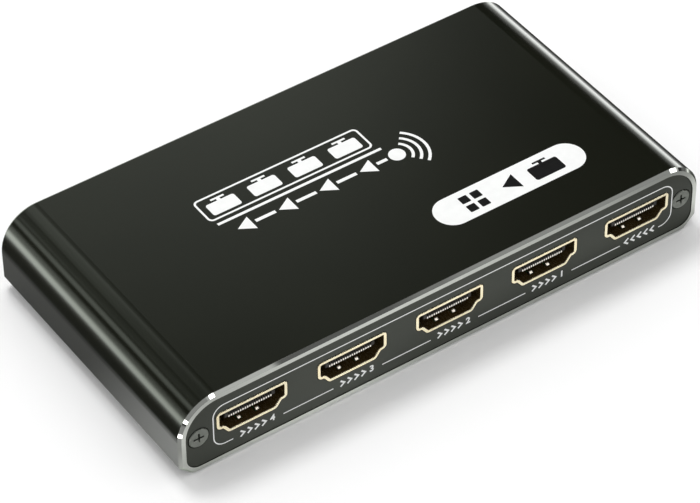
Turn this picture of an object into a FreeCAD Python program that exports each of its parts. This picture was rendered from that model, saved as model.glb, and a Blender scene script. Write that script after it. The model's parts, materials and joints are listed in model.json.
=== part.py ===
import FreeCAD, Part
import math
import os

# HDMI splitter with one input and four outputs, all sizes in millimetres.
# The origin is the centre of the case's underside. X runs along the row of sockets towards the input,
# -Y is the side with the sockets, +Y is the side with the power inlet and the lights, and Z is up.

# Socket mouth: the inside of a receptacle's shell, as the plug meets it
MOUTH_WIDTH = 14.0
MOUTH_HEIGHT = 4.55
MOUTH_SIDE_HEIGHT = 2.95
MOUTH_STEP = 0.95
MOUTH_SLOPE = 1.2
MOUTH_TOP_RADIUS = 0.25
MOUTH_SIDE_RADIUS = 0.35
MOUTH_STEP_RADIUS = 0.9
MOUTH_BOTTOM_RADIUS = 0.3

# Receptacle shell, its two pairs of spring fingers and its four legs
SHELL_WALL = 0.6
SHELL_LENGTH = 12.4
SHELL_PROUD = 0.1
LIP_BEVEL = 0.06
FINGER_SPACING = 3.9
FINGER_WIDTH = 0.75
FINGER_LENGTH = 4.2
FINGER_START = 1.4
FINGER_RISE = 0.28
FINGER_THICKNESS = 0.25
FINGER_SLOT = 0.25
LEG_WIDTH = 1.6
LEG_INSET = 3.2
LEG_BELOW_BOARD = 0.8

# Insulator inside the shell: a rear block and the tongue
TONGUE_DROP = 1.05
TONGUE_THICKNESS = 1.2
TONGUE_SETBACK = 0.8
TONGUE_MARGIN = 0.86
TONGUE_BEVEL = 0.15
BLOCK_LENGTH = 2.2
INSULATOR_FIT = 0.05

# Contacts: odd ones along the top of the tongue, even ones along its underside
CONTACT_COUNT = 19
CONTACT_WIDTH = 0.28
CONTACT_GAP = 0.22
CONTACT_THICKNESS = 0.2
CONTACT_PROUD = 0.03
CONTACT_HOOK = 0.35
CONTACT_NOSE = 0.7
CONTACT_TAIL = 0.5
CONTACT_FOOT = 0.9
GROOVE_CLEARANCE = 0.02

# Row of sockets: four outputs and the input
OUTPUT_COUNT = 4
PORT_GAP = 6.65
PORT_ROW_SHIFT = 0.35

# Power inlet for a barrel plug of 5.5 mm with a hole of 2.1 mm
JACK_BORE_RADIUS = 3.15
JACK_BORE_DEPTH = 10.0
JACK_WALL = 1.35
JACK_NOSE_WALL = 0.85
JACK_BACK_WALL = 3.5
JACK_PIN_RADIUS = 1.0
JACK_PIN_SETBACK = 1.0
JACK_PIN_ROOT = 2.0
JACK_SPRING_WIDTH = 2.0
JACK_SPRING_THICKNESS = 0.3
JACK_SPRING_RISE = 0.5
JACK_SPRING_CLEARANCE = 0.15
JACK_SPRING_SETBACK = 2.5
JACK_TAIL_WIDTH = 2.4

# Main board
BOARD_DEPTH = 58.2
BOARD_THICKNESS = 1.6
BOARD_SIDE_GAP = 0.3
BOARD_END_GAP = 0.25
BOARD_SLOT_GAP = 0.05
UNDERBOARD_SPACE = 3.35
HOLE_CLEARANCE = 0.1

# Case: a closed aluminium tube, with its wall round the whole section
CASE_WALL = 1.4
CEILING_GAP = 0.65
TOP_CORNER_RADIUS = 8.3
BOTTOM_BEVEL = 2.8
BOTTOM_BEVEL_EASE = 0.5
BOTTOM_INNER_RADIUS = 2.9
END_BEVEL_DEPTH = 0.6
END_BEVEL_WIDTH = 0.5
CHANNEL_WALL = 0.85
CHANNEL_SLIT = 1.0
RIB_THICKNESS = 1.0
RIB_REACH = 2.2

# End panels and their countersunk screws
PANEL_THICKNESS = 1.5
PANEL_RECESS = 0.15
PANEL_FIT = 0.1
PANEL_HOLE_CLEARANCE = 0.15
SCREW_RADIUS = 1.22
SCREW_LENGTH = 8.0
SCREW_POINT = 1.0
SCREW_HEAD_RADIUS = 2.1
SCREW_HEAD_EASE = 0.12
SCREW_PROUD = 0.15
SCREW_BORE_CLEARANCE = 0.03
SCREW_PANEL_CLEARANCE = 0.13
SCREW_SOCKET_LAND = 0.67
SCREW_EDGE_DISTANCE = 4.2
COUNTERSINK_CLEARANCE = 0.23
RECESS_RADIUS = 1.15
RECESS_DEPTH = 1.2
RECESS_WING = 0.38

# Indicator lights of 3 mm: power, input and one for each output
LIGHT_RADIUS = 1.5
LIGHT_FLANGE_RADIUS = 1.9
LIGHT_FLANGE_THICKNESS = 1.0
LIGHT_HEIGHT = 3.2
LIGHT_PITCH = 9.0
LIGHT_PROUD = 0.1
LIGHT_INSET = 14.5
HOLDER_WALL = 0.6
HOLDER_DEPTH = 3.4
HOLDER_FIT = 0.05
LIGHT_LEAD = 0.5
LIGHT_LEAD_SPACING = 2.54
LIGHT_LEAD_TAIL = 1.2
LEAD_BELOW_BOARD = 1.0

# Splitter chip with its thermal pad and heat sink
CHIP_SIZE = 14.0
CHIP_HEIGHT = 1.4
CHIP_Y = 3.0
CHIP_STANDOFF = 0.1
CHIP_BEVEL = 0.15
CHIP_LEADS_PER_SIDE = 16
CHIP_LEAD_WIDTH = 0.35
CHIP_LEAD_GAP = 0.4
LEAD_THICKNESS = 0.15
LEAD_REACH = 1.0
PAD_THICKNESS = 0.5
PAD_SIZE = 13.0
SINK_SIZE = 20.0
SINK_BASE = 1.5
SINK_FIN_HEIGHT = 4.5
SINK_FIN_COUNT = 7
SINK_FIN_THICKNESS = 1.0

# Other parts on the board
CONTROL_WIDTH = 6.5
CONTROL_DEPTH = 4.4
CONTROL_HEIGHT = 1.0
CONTROL_LEADS_PER_SIDE = 10
CONTROL_LEAD_WIDTH = 0.25
CONTROL_LEAD_GAP = 0.4
MEMORY_WIDTH = 4.9
MEMORY_DEPTH = 3.9
MEMORY_HEIGHT = 1.45
MEMORY_LEADS_PER_SIDE = 4
MEMORY_LEAD_WIDTH = 0.42
MEMORY_LEAD_GAP = 0.85
EQUALISER_SIZE = 7.0
EQUALISER_HEIGHT = 0.9
CRYSTAL_LENGTH = 11.4
CRYSTAL_WIDTH = 4.6
CRYSTAL_HEIGHT = 3.4
CRYSTAL_BASE = 0.5
CRYSTAL_RIM = 0.4
REGULATOR_WIDTH = 6.5
REGULATOR_DEPTH = 3.5
REGULATOR_HEIGHT = 1.6
REGULATOR_GAP = 3.0
INDUCTOR_SIZE = 6.0
INDUCTOR_HEIGHT = 3.0
INDUCTOR_CORNER = 1.2
INDUCTOR_CORE_RADIUS = 2.3
INDUCTOR_CORE_STEP = 0.3
CAPACITOR_RADIUS = 2.5
CAPACITOR_HEIGHT = 5.4
CAPACITOR_BASE = 0.8
CAPACITOR_GAP = 1.4
FUSE_WIDTH = 4.5
FUSE_DEPTH = 3.2
FUSE_HEIGHT = 0.9
DIODE_WIDTH = 4.3
DIODE_DEPTH = 2.6
DIODE_HEIGHT = 2.2
ARRAY_WIDTH = 2.5
ARRAY_DEPTH = 1.0
ARRAY_HEIGHT = 0.5
ARRAY_SPACING = 5.0
SMALL_LENGTH = 1.6
SMALL_WIDTH = 0.8
SMALL_HEIGHT = 0.6
SMALL_SPACING = 2.4
BOARD_PART_GAP = 1.5

# Every cut runs this far past the face that it opens, and pieces of one solid run this far into each other
PAST = 1.0
MERGE = 0.3

Vector = FreeCAD.Vector


def inset(corners, gap):
    """Moves each side of an outline in by gap, or out by a negative one. The corners are (x, z, radius),
    anticlockwise as seen from -Y."""
    moved = []
    for i, (x, z, radius) in enumerate(corners):
        back_x, back_z, _ = corners[i - 1]
        next_x, next_z, _ = corners[(i + 1) % len(corners)]
        first = unit(x - back_x, z - back_z)
        second = unit(next_x - x, next_z - z)
        share = gap / (1 + first[0] * second[0] + first[1] * second[1])
        turns_left = first[0] * second[1] - first[1] * second[0] > 0
        grown = radius - gap if turns_left else radius + gap
        moved.append(
            (
                x - share * (first[1] + second[1]),
                z + share * (first[0] + second[0]),
                max(grown, 0) if radius else 0,
            )
        )
    return moved


def unit(x, z):
    """Direction of length one."""
    length = math.hypot(x, z)
    return x / length, z / length


def reaches(points, radii):
    """How far each corner's arc takes from its two sides, held to what the sides have."""
    count = len(points)
    turns = []
    for i in range(count):
        back = points[i - 1] - points[i]
        ahead = points[(i + 1) % count] - points[i]
        turns.append(math.pi - back.getAngle(ahead))
    wanted = [radii[i] * math.tan(turns[i] / 2) for i in range(count)]
    shares = []
    for i in range(count):
        side = (points[(i + 1) % count] - points[i]).Length
        shares.append(min(1, 0.98 * side / max(wanted[i] + wanted[(i + 1) % count], 1e-9)))
    held = [wanted[i] * min(shares[i - 1], shares[i]) for i in range(count)]
    return held, turns


def outline(corners, y):
    """Closed wire in the plane Y = y through corners (x, z, radius), with an arc at each rounded one."""
    points = [Vector(x, y, z) for x, z, _ in corners]
    held, turns = reaches(points, [radius for _, _, radius in corners])
    edges = []
    last_end = None
    first_start = None
    for i, corner in enumerate(points):
        back = (points[i - 1] - corner).normalize()
        ahead = (points[(i + 1) % len(points)] - corner).normalize()
        start = corner + back * held[i]
        end = corner + ahead * held[i]
        if last_end is not None:
            edges.append(Part.LineSegment(last_end, start).toShape())
        else:
            first_start = start
        if held[i] > 0:
            radius = held[i] / math.tan(turns[i] / 2)
            to_middle = (back + ahead).normalize()
            middle = corner + to_middle * (radius / math.cos(turns[i] / 2) - radius)
            edges.append(Part.Arc(start, middle, end).toShape())
        last_end = end
    edges.append(Part.LineSegment(last_end, first_start).toShape())
    return Part.Wire(edges)


def prism(corners, y_from, y_to):
    """Solid of one outline between two planes."""
    return Part.Face(outline(corners, y_from)).extrude(Vector(0, y_to - y_from, 0))


def taper(corners, y_from, other_corners, y_to):
    """Solid between two outlines."""
    return Part.makeLoft([outline(corners, y_from), outline(other_corners, y_to)], True, True)


def box(x_range, y_range, z_range):
    """Block between two values on each axis."""
    low = Vector(x_range[0], y_range[0], z_range[0])
    return Part.makeBox(
        x_range[1] - x_range[0], y_range[1] - y_range[0], z_range[1] - z_range[0], low
    )


def about(centre, width):
    """Range of a width centred on a value."""
    return centre - width / 2, centre + width / 2


def rod(x, z, radius, y_from, y_to):
    """Round bar along Y."""
    return Part.makeCylinder(radius, y_to - y_from, Vector(x, y_from, z), Vector(0, 1, 0))


def cone(x, z, radius_from, radius_to, y_from, y_to):
    """Round taper along Y."""
    place = Vector(x, y_from, z)
    return Part.makeCone(radius_from, radius_to, y_to - y_from, place, Vector(0, 1, 0))


def strip(path, thickness, x, width):
    """Bent flat strip: a path of (y, z) points along its middle, given a thickness and a width along X."""
    near, far = [], []
    for i, (y, z) in enumerate(path):
        first = unit(y - path[i - 1][0], z - path[i - 1][1]) if i else None
        second = unit(path[i + 1][0] - y, path[i + 1][1] - z) if i + 1 < len(path) else None
        first = first or second
        second = second or first
        share = thickness / 2 / (1 + first[0] * second[0] + first[1] * second[1])
        side_y = -share * (first[1] + second[1])
        side_z = share * (first[0] + second[0])
        near.append(Vector(x - width / 2, y + side_y, z + side_z))
        far.append(Vector(x - width / 2, y - side_y, z - side_z))
    loop = near + far[::-1]
    return Part.Face(Part.makePolygon(loop + loop[:1])).extrude(Vector(width, 0, 0))


def fused(first, others):
    """One solid from pieces that run into each other."""
    return first.fuse(others).removeSplitter()


def turned(shape, degrees, centre):
    """Copy turned about a vertical line."""
    copy = shape.copy()
    copy.rotate(centre, Vector(0, 0, 1), degrees)
    return copy


def shifted(shape, x, y=0, z=0):
    """Copy moved along the axes."""
    copy = shape.copy()
    copy.translate(Vector(x, y, z))
    return copy


def save(node, shape):
    """Writes one node, with its solids as one group."""
    solids = shape.Solids
    if not solids or not all(solid.isValid() and solid.isClosed() for solid in solids):
        raise ValueError(node + " is not a set of closed solids")
    kept = solids[0] if len(solids) == 1 else Part.makeCompound(solids)
    kept.exportStep("parts/" + node + ".step")


# Heights, from the floor of the case up
board_bottom = CASE_WALL + UNDERBOARD_SPACE
board_top = board_bottom + BOARD_THICKNESS
mouth_bottom = board_top + SHELL_WALL
mouth_top = mouth_bottom + MOUTH_HEIGHT
jack_size = 2 * (JACK_BORE_RADIUS + JACK_WALL)
jack_z = board_top + jack_size / 2
light_z = board_top + LIGHT_HEIGHT
chip_top = board_top + CHIP_STANDOFF + CHIP_HEIGHT
sink_bottom = chip_top + PAD_THICKNESS
sink_top = sink_bottom + SINK_BASE + SINK_FIN_HEIGHT
light_radius_outside = LIGHT_FLANGE_RADIUS + HOLDER_FIT + HOLDER_WALL
tallest = max(
    mouth_top + SHELL_WALL,
    board_top + jack_size,
    light_z + light_radius_outside,
    sink_top,
    board_top + CAPACITOR_HEIGHT,
)
case_height = tallest + CEILING_GAP + CASE_WALL

# Lengths along X, from the row of sockets out to the case's ends
port_pitch = MOUTH_WIDTH + 2 * SHELL_WALL + PORT_GAP
port_names = ["output_%d" % number for number in range(OUTPUT_COUNT, 0, -1)] + ["input"]
port_xs = [
    PORT_ROW_SHIFT + (i - (len(port_names) - 1) / 2) * port_pitch for i in range(len(port_names))
]
last_socket_edge = port_xs[-1] + MOUTH_WIDTH / 2 + SHELL_WALL + PANEL_HOLE_CLEARANCE
channel_radius = SCREW_RADIUS + SCREW_BORE_CLEARANCE + CHANNEL_WALL
countersink_radius = SCREW_HEAD_RADIUS + COUNTERSINK_CLEARANCE
screw_x = last_socket_edge + SCREW_SOCKET_LAND + countersink_radius
screw_z = board_top + BOARD_SLOT_GAP + channel_radius
half_length = screw_x + SCREW_EDGE_DISTANCE
inner_half_length = half_length - CASE_WALL
board_half_length = inner_half_length - BOARD_SIDE_GAP

# Depths along Y, the same from the middle to both sides
half_depth = BOARD_DEPTH / 2 + BOARD_END_GAP + PANEL_THICKNESS + PANEL_RECESS
panel_face = half_depth - PANEL_RECESS
panel_back = panel_face - PANEL_THICKNESS
shell_front = -(panel_face + SHELL_PROUD)
shell_rear = shell_front + SHELL_LENGTH

# Contact rows
contact_pitch = CONTACT_WIDTH + CONTACT_GAP
contact_xs = [(i - (CONTACT_COUNT - 1) / 2) * contact_pitch for i in range(CONTACT_COUNT)]
tongue_width = (CONTACT_COUNT - 1) * contact_pitch + CONTACT_WIDTH + 2 * TONGUE_MARGIN
tongue_top = mouth_top - TONGUE_DROP
tongue_bottom = tongue_top - TONGUE_THICKNESS
tongue_front = shell_front + TONGUE_SETBACK
tip_z = tongue_bottom - CONTACT_PROUD + CONTACT_THICKNESS / 2
contact_tail_y = shell_rear + CONTACT_TAIL
foot_end = contact_tail_y + CONTACT_FOOT

# Power inlet and lights, on the far side
jack_x = port_xs[-1]
jack_nose = panel_face
jack_front = panel_back
jack_rear = jack_nose - JACK_BORE_DEPTH - JACK_BACK_WALL
bore_end = jack_nose - JACK_BORE_DEPTH
light_names = ["output_%d" % number for number in range(OUTPUT_COUNT, 0, -1)] + ["input", "power"]
light_xs = [-screw_x + LIGHT_INSET + i * LIGHT_PITCH for i in range(len(light_names))]
light_tip = panel_face + LIGHT_PROUD
light_flange_front = panel_back - HOLDER_DEPTH + LIGHT_FLANGE_THICKNESS
light_back = light_flange_front - LIGHT_FLANGE_THICKNESS
light_lead_y = light_back - LIGHT_LEAD_TAIL


def case_corners():
    """Outside of the tube's section."""
    side = half_length
    return [
        (-side + BOTTOM_BEVEL, 0, BOTTOM_BEVEL_EASE),
        (side - BOTTOM_BEVEL, 0, BOTTOM_BEVEL_EASE),
        (side, BOTTOM_BEVEL, BOTTOM_BEVEL_EASE),
        (side, case_height, TOP_CORNER_RADIUS),
        (-side, case_height, TOP_CORNER_RADIUS),
        (-side, BOTTOM_BEVEL, BOTTOM_BEVEL_EASE),
    ]


def opening_corners():
    """Inside of the tube's section, which the panels fill."""
    side = inner_half_length
    top = case_height - CASE_WALL
    radius = TOP_CORNER_RADIUS - CASE_WALL
    return [
        (-side, CASE_WALL, BOTTOM_INNER_RADIUS),
        (side, CASE_WALL, BOTTOM_INNER_RADIUS),
        (side, top, radius),
        (-side, top, radius),
    ]


def mouth_corners():
    """Inside of a receptacle's shell."""
    side = MOUTH_WIDTH / 2
    ledge = mouth_top - MOUTH_SIDE_HEIGHT
    step_x = side - MOUTH_STEP
    foot_x = step_x - MOUTH_SLOPE
    right = [
        (foot_x, mouth_bottom, MOUTH_BOTTOM_RADIUS),
        (step_x, ledge, MOUTH_STEP_RADIUS),
        (side, ledge, MOUTH_SIDE_RADIUS),
        (side, mouth_top, MOUTH_TOP_RADIUS),
    ]
    return right + [(-x, z, radius) for x, z, radius in reversed(right)]


def extruded_case():
    """The tube with bevelled ends, screw channels and grooves for the board."""
    whole = case_corners()
    small = inset(whole, END_BEVEL_WIDTH)
    straight = half_depth - END_BEVEL_DEPTH
    tube = fused(
        prism(whole, -straight, straight),
        [taper(small, -half_depth, whole, -straight), taper(whole, straight, small, half_depth)],
    )
    tube = tube.cut(prism(opening_corners(), -half_depth - PAST, half_depth + PAST))
    rails = [rail for side in (-1, 1) for rail in side_rails(side)]
    tube = fused(tube, rails)
    for side in (-1, 1):
        bore = rod(side * screw_x, screw_z, SCREW_RADIUS + SCREW_BORE_CLEARANCE, -panel_back, panel_back)
        slit_x = sorted((side * screw_x, side * (screw_x - channel_radius - PAST)))
        slit = box(slit_x, (-panel_back, panel_back), about(screw_z, CHANNEL_SLIT))
        tube = tube.cut([bore, slit])
    return tube


def side_rails(side):
    """Screw channel and lower rib of one side, between the two panels' seats. The flat underside of the
    channel and the rib hold the board's edge between them."""
    run = (-panel_back, panel_back)
    channel = rod(side * screw_x, screw_z, channel_radius, -panel_back, panel_back)
    web_x = sorted((side * screw_x, side * (inner_half_length + MERGE)))
    web = box(web_x, run, (screw_z - channel_radius, screw_z + channel_radius / 2))
    rib_x = sorted((side * (inner_half_length - RIB_REACH), side * (inner_half_length + MERGE)))
    rib_top = board_bottom - BOARD_SLOT_GAP
    rib = box(rib_x, run, (rib_top - RIB_THICKNESS, rib_top))
    return [channel, web, rib]


def blank_panel():
    """Panel at the socket side, before its openings are cut, with its two countersunk holes."""
    plate = prism(inset(opening_corners(), PANEL_FIT), -panel_face, -panel_back)
    hole_radius = SCREW_RADIUS + SCREW_PANEL_CLEARANCE
    sink_depth = countersink_radius - hole_radius
    for side in (-1, 1):
        x = side * screw_x
        hole = rod(x, screw_z, hole_radius, -panel_face - PAST, -panel_back + PAST)
        sink = cone(
            x, screw_z, countersink_radius, hole_radius, -panel_face, -panel_face + sink_depth
        )
        plate = plate.cut([hole, sink])
    return plate


def port_panel():
    """Panel with an opening for each receptacle."""
    around = inset(mouth_corners(), -(SHELL_WALL + PANEL_HOLE_CLEARANCE))
    opening = prism(around, -panel_face - PAST, -panel_back + PAST)
    return blank_panel().cut([shifted(opening, x) for x in port_xs])


def far_panel():
    """Panel with the inlet's hole and a hole for each light."""
    plate = turned(blank_panel(), 180, Vector(0, 0, 0))
    nose_radius = JACK_BORE_RADIUS + JACK_NOSE_WALL
    span = (panel_back - PAST, panel_face + PAST)
    holes = [rod(jack_x, jack_z, nose_radius + PANEL_HOLE_CLEARANCE, *span)]
    for x in light_xs:
        holes.append(rod(x, light_z, LIGHT_RADIUS + PANEL_HOLE_CLEARANCE, *span))
    return plate.cut(holes)


def panel_screw(x):
    """Countersunk screw with a cross recess, in the panel at the socket side. Its rim stands a little
    proud of the panel."""
    top = -panel_face - SCREW_PROUD
    seat = -panel_face + COUNTERSINK_CLEARANCE
    cone_end = seat + SCREW_HEAD_RADIUS - SCREW_RADIUS
    shank_end = top + SCREW_LENGTH - SCREW_POINT
    rim = top + SCREW_HEAD_EASE
    screw = fused(
        cone(x, screw_z, SCREW_HEAD_RADIUS - SCREW_HEAD_EASE, SCREW_HEAD_RADIUS, top, rim),
        [
            rod(x, screw_z, SCREW_HEAD_RADIUS, rim, seat),
            cone(x, screw_z, SCREW_HEAD_RADIUS, SCREW_RADIUS, seat, cone_end),
            rod(x, screw_z, SCREW_RADIUS, cone_end, shank_end),
            cone(x, screw_z, SCREW_RADIUS, SCREW_RADIUS / 2, shank_end, top + SCREW_LENGTH),
        ],
    )
    reach = 2 * RECESS_RADIUS
    wings = box(about(x, RECESS_WING), (top, top + RECESS_DEPTH), about(screw_z, reach))
    cross = wings.fuse(
        box(about(x, reach), (top, top + RECESS_DEPTH), about(screw_z, RECESS_WING))
    )
    bit = cone(x, screw_z, RECESS_RADIUS, RECESS_WING / 2, top, top + RECESS_DEPTH)
    return screw.cut(cross.common(bit))


def panel_screws():
    """Both screws of the panel at the socket side."""
    return Part.makeCompound([panel_screw(side * screw_x) for side in (-1, 1)])


def hdmi_shell():
    """Stamped shell at x = 0: the tube, its spring fingers and its legs."""
    inside = mouth_corners()
    outside = inset(inside, -SHELL_WALL)
    lip = shell_front + LIP_BEVEL
    tube = fused(
        prism(outside, lip, shell_rear), [taper(inset(outside, LIP_BEVEL), shell_front, outside, lip)]
    )
    tube = tube.cut(prism(inside, shell_front - PAST, shell_rear + PAST))
    tube = tube.cut(taper(inset(inside, -LIP_BEVEL), shell_front, inside, lip))
    for x in (-FINGER_SPACING / 2, FINGER_SPACING / 2):
        for wall_z, inwards in ((mouth_bottom, 1), (mouth_top, -1)):
            tube = tube.cut(finger_window(x, wall_z, inwards))
            tube = fused(tube, [spring_finger(x, wall_z, inwards)])
    return fused(tube, shell_legs())


def finger_window(x, wall_z, inwards):
    """Opening stamped round one finger, through the whole wall."""
    start = shell_front + FINGER_START - FINGER_SLOT
    heights = sorted((wall_z + inwards * MERGE, wall_z - inwards * (SHELL_WALL + MERGE)))
    end = shell_front + FINGER_START + FINGER_LENGTH
    return box(about(x, FINGER_WIDTH + 2 * FINGER_SLOT), (start, end), heights)


def spring_finger(x, wall_z, inwards):
    """Finger that leans into the mouth and turns back at its tip."""
    root = shell_front + FINGER_START + FINGER_LENGTH
    tip = shell_front + FINGER_START
    flat = wall_z - inwards * SHELL_WALL / 2
    crest = wall_z + inwards * (FINGER_RISE - FINGER_THICKNESS / 2)
    path = [
        (root + MERGE, flat),
        (root, flat),
        (tip + FINGER_LENGTH / 4, crest),
        (tip + FINGER_LENGTH / 8, crest),
        (tip, flat + inwards * FINGER_RISE / 2),
    ]
    return strip(path, FINGER_THICKNESS, x, FINGER_WIDTH)


def leg_ys():
    """Where a shell's legs are along Y."""
    return shell_front + LEG_INSET + LEG_WIDTH / 2, shell_rear - LEG_INSET


def shell_legs():
    """Four legs that go down through the board from the shell's upright sides."""
    top = mouth_top - MOUTH_SIDE_HEIGHT / 2
    legs = []
    for side in (-1, 1):
        across = sorted((side * MOUTH_WIDTH / 2, side * (MOUTH_WIDTH / 2 + SHELL_WALL)))
        for y in leg_ys():
            legs.append(box(across, about(y, LEG_WIDTH), (board_bottom - LEG_BELOW_BOARD, top)))
    return legs


def hdmi_contact(index):
    """One bent contact at its place, from its hooked tip at the tongue's lower front edge to its foot
    on the board."""
    half = CONTACT_THICKNESS / 2
    front_y = tongue_front - CONTACT_PROUD + half
    path = [(front_y, tip_z + CONTACT_HOOK), (front_y, tip_z)]
    run_z = tip_z
    if index % 2 == 0:
        run_z = tongue_top + CONTACT_PROUD - half
        nose_y = tongue_front + CONTACT_NOSE
        path += [(nose_y, tip_z), (nose_y, run_z)]
    path += [
        (contact_tail_y, run_z),
        (contact_tail_y, board_top + half),
        (foot_end, board_top + half),
    ]
    return strip(path, CONTACT_THICKNESS, contact_xs[index], CONTACT_WIDTH)


def hdmi_contacts():
    """All contacts of one receptacle at x = 0."""
    return Part.makeCompound([hdmi_contact(index) for index in range(CONTACT_COUNT)])


def hdmi_insulator(contacts):
    """Rear block and tongue at x = 0, with the contacts let into them."""
    block = prism(inset(mouth_corners(), INSULATOR_FIT), shell_rear - BLOCK_LENGTH, shell_rear)
    tongue_corners = [
        (-tongue_width / 2, tongue_bottom, 0),
        (tongue_width / 2, tongue_bottom, 0),
        (tongue_width / 2, tongue_top, 0),
        (-tongue_width / 2, tongue_top, 0),
    ]
    bevel_end = tongue_front + TONGUE_BEVEL
    tongue = fused(
        prism(tongue_corners, bevel_end, shell_rear - BLOCK_LENGTH + MERGE),
        [taper(inset(tongue_corners, TONGUE_BEVEL), tongue_front, tongue_corners, bevel_end)],
    )
    body = fused(block, [tongue])
    grooves = []
    groove_end = tongue_front + CONTACT_NOSE + CONTACT_THICKNESS / 2
    for x in contact_xs:
        across = about(x, CONTACT_WIDTH + 2 * GROOVE_CLEARANCE)
        heights = (tip_z + CONTACT_HOOK, tongue_top + PAST)
        grooves.append(box(across, (tongue_front - PAST, groove_end), heights))
    return body.cut(grooves).cut(contacts.Solids)


def dc_jack():
    """Housing, centre pin and spring contact of the power inlet, which meets the far panel."""
    housing = box(
        about(jack_x, jack_size), (jack_rear, jack_front), about(jack_z, jack_size)
    )
    nose = rod(jack_x, jack_z, JACK_BORE_RADIUS + JACK_NOSE_WALL, jack_front - MERGE, jack_nose)
    housing = fused(housing, [nose])
    housing = housing.cut(rod(jack_x, jack_z, JACK_BORE_RADIUS, bore_end, jack_nose + PAST))
    pin = jack_pin()
    spring = jack_spring()
    room = spring_room()
    return housing.cut([room, pin]).cut(spring), pin, spring


def jack_pin():
    """Round pin on the bore's axis, with a flat tail that goes down through the board behind the housing."""
    tip = jack_nose - JACK_PIN_SETBACK
    ball_y = tip - JACK_PIN_RADIUS
    pin = rod(jack_x, jack_z, JACK_PIN_RADIUS, bore_end - JACK_PIN_ROOT, ball_y)
    ball = Part.makeSphere(JACK_PIN_RADIUS, Vector(jack_x, ball_y, jack_z))
    tail_y = jack_rear - JACK_SPRING_THICKNESS / 2
    tail = strip(
        [(bore_end - JACK_PIN_ROOT + MERGE, jack_z), (tail_y, jack_z), (tail_y, tail_end())],
        JACK_SPRING_THICKNESS,
        jack_x,
        JACK_TAIL_WIDTH,
    )
    return fused(pin, [ball, tail])


def tail_end():
    """How low the inlet's tails reach."""
    return board_bottom - LEG_BELOW_BOARD


def spring_tail_y():
    """Where the spring's tail goes down, ahead of the housing's back wall."""
    return bore_end - JACK_BACK_WALL / 2


def jack_spring():
    """Leaf under the bore that rises into it, with a tail that goes down through the board."""
    floor_z = jack_z - JACK_BORE_RADIUS
    low = floor_z - JACK_WALL / 2
    crest = floor_z + JACK_SPRING_RISE - JACK_SPRING_THICKNESS / 2
    front = jack_nose - JACK_SPRING_SETBACK
    rise_end = front - (front - bore_end) / 4
    path = [
        (front, floor_z - JACK_SPRING_THICKNESS / 2),
        (rise_end, crest),
        (bore_end, low),
        (spring_tail_y(), low),
        (spring_tail_y(), tail_end()),
    ]
    return strip(path, JACK_SPRING_THICKNESS, jack_x, JACK_SPRING_WIDTH)


def spring_room():
    """Space under the bore in which the leaf gives way."""
    floor_z = jack_z - JACK_BORE_RADIUS
    across = about(jack_x, JACK_SPRING_WIDTH + 2 * JACK_SPRING_CLEARANCE)
    low = floor_z - JACK_WALL / 2 - JACK_SPRING_THICKNESS / 2
    front = jack_nose - JACK_SPRING_SETBACK + JACK_SPRING_THICKNESS
    return box(across, (bore_end, front), (low, floor_z + JACK_SPRING_RISE))


def indicator_light(x):
    """Moulded light: a dome at the panel, a body and a flange at its back."""
    ball_y = light_tip - LIGHT_RADIUS
    body = rod(x, light_z, LIGHT_RADIUS, light_flange_front, ball_y)
    flange = rod(x, light_z, LIGHT_FLANGE_RADIUS, light_back, light_flange_front)
    return fused(body, [Part.makeSphere(LIGHT_RADIUS, Vector(x, ball_y, light_z)), flange])


def light_holder(x):
    """Black block on the board that a light is pressed into from behind."""
    width = 2 * light_radius_outside
    block = box(
        about(x, width),
        (light_back, panel_back),
        (board_top, light_z + light_radius_outside),
    )
    body_hole = rod(x, light_z, LIGHT_RADIUS + HOLDER_FIT, light_back - PAST, panel_back + PAST)
    flange_hole = rod(
        x, light_z, LIGHT_FLANGE_RADIUS + HOLDER_FIT, light_back - PAST, light_flange_front
    )
    return block.cut([body_hole, flange_hole])


def light_lead_xs(x):
    """The two leads of a light, inside its flange."""
    return about(x, LIGHT_LEAD_SPACING)


def light_leads(x):
    """Two bent leads from a light's back down through the board."""
    path = [
        (light_back, light_z),
        (light_lead_y, light_z),
        (light_lead_y, board_bottom - LEAD_BELOW_BOARD),
    ]
    return [strip(path, LIGHT_LEAD, lead_x, LIGHT_LEAD) for lead_x in light_lead_xs(x)]


def main_board():
    """The board with a slot or hole for each leg, tail and lead."""
    board = box(
        (-board_half_length, board_half_length),
        about(0, BOARD_DEPTH),
        (board_bottom, board_top),
    )
    return board.cut(board_holes())


def board_hole(x, y, width, depth):
    """Hole through the board round a leg of the given width and depth."""
    heights = (board_bottom - PAST, board_top + PAST)
    across = about(x, width + 2 * HOLE_CLEARANCE)
    return box(across, about(y, depth + 2 * HOLE_CLEARANCE), heights)


def board_holes():
    """All holes through the board."""
    holes = []
    leg_x = MOUTH_WIDTH / 2 + SHELL_WALL / 2
    for port_x in port_xs:
        for x in (port_x - leg_x, port_x + leg_x):
            for y in leg_ys():
                holes.append(board_hole(x, y, SHELL_WALL, LEG_WIDTH))
    tail_y = jack_rear - JACK_SPRING_THICKNESS / 2
    holes.append(board_hole(jack_x, tail_y, JACK_TAIL_WIDTH, JACK_SPRING_THICKNESS))
    holes.append(board_hole(jack_x, spring_tail_y(), JACK_SPRING_WIDTH, JACK_SPRING_THICKNESS))
    for light_x in light_xs:
        for x in light_lead_xs(light_x):
            holes.append(board_hole(x, light_lead_y, LIGHT_LEAD, LIGHT_LEAD))
    return holes


def chip_body(x, y, width, depth, height):
    """Moulded chip that stands a little above the board."""
    low = board_top + CHIP_STANDOFF
    body = box(about(x, width), about(y, depth), (low, low + height))
    top_edges = [edge for edge in body.Edges if edge.BoundBox.ZMin > low + height / 2]
    return body.makeChamfer(CHIP_BEVEL, top_edges)


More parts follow.
